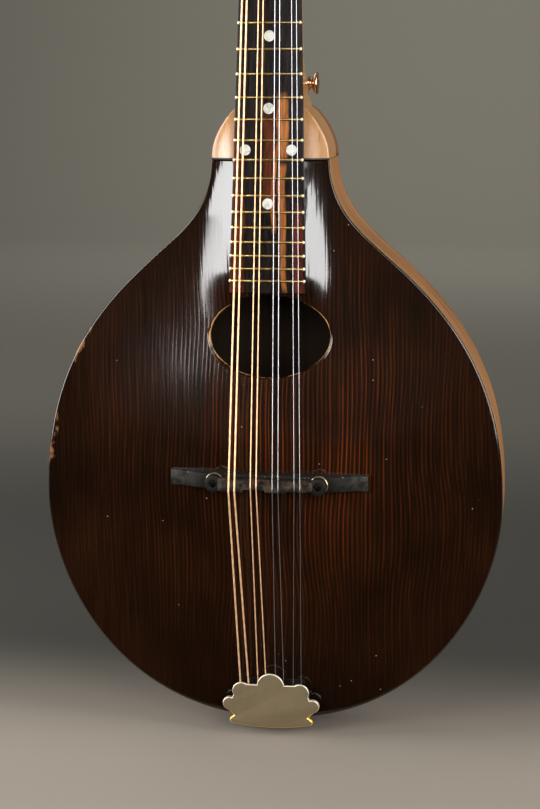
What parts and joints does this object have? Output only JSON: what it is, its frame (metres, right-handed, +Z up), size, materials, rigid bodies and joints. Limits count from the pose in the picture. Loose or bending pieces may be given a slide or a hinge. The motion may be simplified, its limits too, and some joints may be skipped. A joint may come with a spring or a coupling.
{
  "type": "a-style mandolin",
  "caption": "Carved-top mandolin with an oval sound hole, geared tuners, a height-adjustable bridge and a slide-off tailpiece cover.",
  "frame": {"origin": "centre line at the nut, on the neck's face that the fingerboard is glued to: the point that a wall hanger's fork holds up", "axes": "+Z up along the neck, +Y towards the back, +X to the treble side"},
  "size_m": [0.2584, 0.1027, 0.6357],
  "materials": {
    "ebony": "oiled ebony, streaked with red-brown",
    "stained_spruce": "dark stain under worn gloss lacquer",
    "lacquered_maple": "golden brown gloss lacquer",
    "lacquered_mahogany": "warm brown satin lacquer",
    "bare_spruce": "bare sawn wood",
    "bone": "polished bone",
    "worn_nickel": "dull worn nickel plate",
    "brass": "polished, darkened in the corners",
    "ivoroid": "aged cream celluloid",
    "wound_bronze": "bronze winding on steel",
    "string_steel": "plain drawn steel"
  },
  "bodies": {
    "instrument": {"soundboard": "stained_spruce", "back": "lacquered_maple", "rib_bass": "lacquered_maple", "rib_treble": "lacquered_maple", "neck_block": "bare_spruce", "tail_block": "bare_spruce", "top_lining": "bare_spruce", "back_lining": "bare_spruce", "cross_brace": "bare_spruce", "neck": "lacquered_mahogany", "headstock_veneer": "ebony", "fingerboard": "ebony", "nut": "bone", "tuner_plate_bass": "worn_nickel", "tuner_plate_treble": "worn_nickel", "bridge_base": "ebony", "bridge_post_bass": "brass", "bridge_post_treble": "brass", "tailpiece_base": "worn_nickel", "tailpiece_screw_1": "worn_nickel", "tailpiece_screw_2": "worn_nickel", "tailpiece_screw_3": "worn_nickel", "end_pin": "ebony", "strap_button": "brass", "string_g1": "wound_bronze", "string_g2": "wound_bronze", "string_d1": "wound_bronze", "string_d2": "wound_bronze", "string_a1": "string_steel", "string_a2": "string_steel", "string_e1": "string_steel", "string_e2": "string_steel"},
    "saddle": {"bridge_saddle": "ebony"},
    "wheel_bass": {"bridge_wheel_bass": "brass"},
    "wheel_treble": {"bridge_wheel_treble": "brass"},
    "cover": {"tailpiece_cover": "worn_nickel"},
    "key_1": {"tuner_key_1": "ivoroid"},
    "post_1": {"tuner_post_1": "worn_nickel", "tuner_gear_1": "brass"},
    "key_2": {"tuner_key_2": "ivoroid"},
    "post_2": {"tuner_post_2": "worn_nickel", "tuner_gear_2": "brass"},
    "key_3": {"tuner_key_3": "ivoroid"},
    "post_3": {"tuner_post_3": "worn_nickel", "tuner_gear_3": "brass"},
    "key_4": {"tuner_key_4": "ivoroid"},
    "post_4": {"tuner_post_4": "worn_nickel", "tuner_gear_4": "brass"},
    "key_5": {"tuner_key_5": "ivoroid"},
    "post_5": {"tuner_post_5": "worn_nickel", "tuner_gear_5": "brass"},
    "key_6": {"tuner_key_6": "ivoroid"},
    "post_6": {"tuner_post_6": "worn_nickel", "tuner_gear_6": "brass"},
    "key_7": {"tuner_key_7": "ivoroid"},
    "post_7": {"tuner_post_7": "worn_nickel", "tuner_gear_7": "brass"},
    "key_8": {"tuner_key_8": "ivoroid"},
    "post_8": {"tuner_post_8": "worn_nickel", "tuner_gear_8": "brass"}
  },
  "joints": [
    {"name": "key_1_turn", "type": "hinge", "parent": "instrument", "child": "key_1", "pos_m": [-0.019, 0.03177, 0.03019], "axis": [1, 0, 0], "continuous": true},
    {"name": "post_1_turn", "type": "hinge", "parent": "instrument", "child": "post_1", "pos_m": [-0.019, 0.02967, 0.02387], "axis": [0, 0.9492, -0.3148], "continuous": true},
    {"name": "key_2_turn", "type": "hinge", "parent": "instrument", "child": "key_2", "pos_m": [-0.019, 0.03901, 0.05202], "axis": [1, 0, 0], "continuous": true},
    {"name": "post_2_turn", "type": "hinge", "parent": "instrument", "child": "post_2", "pos_m": [-0.019, 0.03692, 0.0457], "axis": [0, 0.9492, -0.3148], "continuous": true},
    {"name": "key_3_turn", "type": "hinge", "parent": "instrument", "child": "key_3", "pos_m": [-0.019, 0.04625, 0.07385], "axis": [1, 0, 0], "continuous": true},
    {"name": "post_3_turn", "type": "hinge", "parent": "instrument", "child": "post_3", "pos_m": [-0.019, 0.04416, 0.06753], "axis": [0, 0.9492, -0.3148], "continuous": true},
    {"name": "key_4_turn", "type": "hinge", "parent": "instrument", "child": "key_4", "pos_m": [-0.019, 0.05349, 0.09568], "axis": [1, 0, 0], "continuous": true},
    {"name": "post_4_turn", "type": "hinge", "parent": "instrument", "child": "post_4", "pos_m": [-0.019, 0.0514, 0.08936], "axis": [0, 0.9492, -0.3148], "continuous": true},
    {"name": "key_5_turn", "type": "hinge", "parent": "instrument", "child": "key_5", "pos_m": [0.019, 0.03177, 0.03019], "axis": [1, 0, 0], "continuous": true},
    {"name": "post_5_turn", "type": "hinge", "parent": "instrument", "child": "post_5", "pos_m": [0.019, 0.02967, 0.02387], "axis": [0, 0.9492, -0.3148], "continuous": true},
    {"name": "key_6_turn", "type": "hinge", "parent": "instrument", "child": "key_6", "pos_m": [0.019, 0.03901, 0.05202], "axis": [1, 0, 0], "continuous": true},
    {"name": "post_6_turn", "type": "hinge", "parent": "instrument", "child": "post_6", "pos_m": [0.019, 0.03692, 0.0457], "axis": [0, 0.9492, -0.3148], "continuous": true},
    {"name": "key_7_turn", "type": "hinge", "parent": "instrument", "child": "key_7", "pos_m": [0.019, 0.04625, 0.07385], "axis": [1, 0, 0], "continuous": true},
    {"name": "post_7_turn", "type": "hinge", "parent": "instrument", "child": "post_7", "pos_m": [0.019, 0.04416, 0.06753], "axis": [0, 0.9492, -0.3148], "continuous": true},
    {"name": "key_8_turn", "type": "hinge", "parent": "instrument", "child": "key_8", "pos_m": [0.019, 0.05349, 0.09568], "axis": [1, 0, 0], "continuous": true},
    {"name": "post_8_turn", "type": "hinge", "parent": "instrument", "child": "post_8", "pos_m": [0.019, 0.0514, 0.08936], "axis": [0, 0.9492, -0.3148], "continuous": true},
    {"name": "saddle_lift", "type": "slide", "parent": "instrument", "child": "saddle", "axis": [0, -1, 0], "range_m": [-0.00099, 0.00198], "deforming": ["string_g1", "string_g2", "string_d1", "string_d2", "string_a1", "string_a2", "string_e1", "string_e2"]},
    {"name": "wheel_treble_turn", "type": "hinge", "parent": "saddle", "child": "wheel_treble", "pos_m": [0.0291, -0.0442, -0.35285], "axis": [0, -1, 0], "range_deg": [-450, 900]},
    {"name": "wheel_bass_turn", "type": "hinge", "parent": "saddle", "child": "wheel_bass", "pos_m": [-0.0291, -0.0442, -0.35235], "axis": [0, -1, 0], "range_deg": [-450, 900]},
    {"name": "cover_slide", "type": "slide", "parent": "instrument", "child": "cover", "axis": [0, 0, -1], "range_m": [0, 0.035]}
  ],
  "couplings": [
    {"joint": "post_1_turn", "follows": "key_1_turn", "ratio": 0.071429},
    {"joint": "post_2_turn", "follows": "key_2_turn", "ratio": 0.071429},
    {"joint": "post_3_turn", "follows": "key_3_turn", "ratio": 0.071429},
    {"joint": "post_4_turn", "follows": "key_4_turn", "ratio": 0.071429},
    {"joint": "post_5_turn", "follows": "key_5_turn", "ratio": -0.071429},
    {"joint": "post_6_turn", "follows": "key_6_turn", "ratio": -0.071429},
    {"joint": "post_7_turn", "follows": "key_7_turn", "ratio": -0.071429},
    {"joint": "post_8_turn", "follows": "key_8_turn", "ratio": -0.071429},
    {"joint": "wheel_treble_turn", "follows": "saddle_lift", "rad_per_m": 7913.3},
    {"joint": "wheel_bass_turn", "follows": "saddle_lift", "rad_per_m": 7913.3}
  ]
}
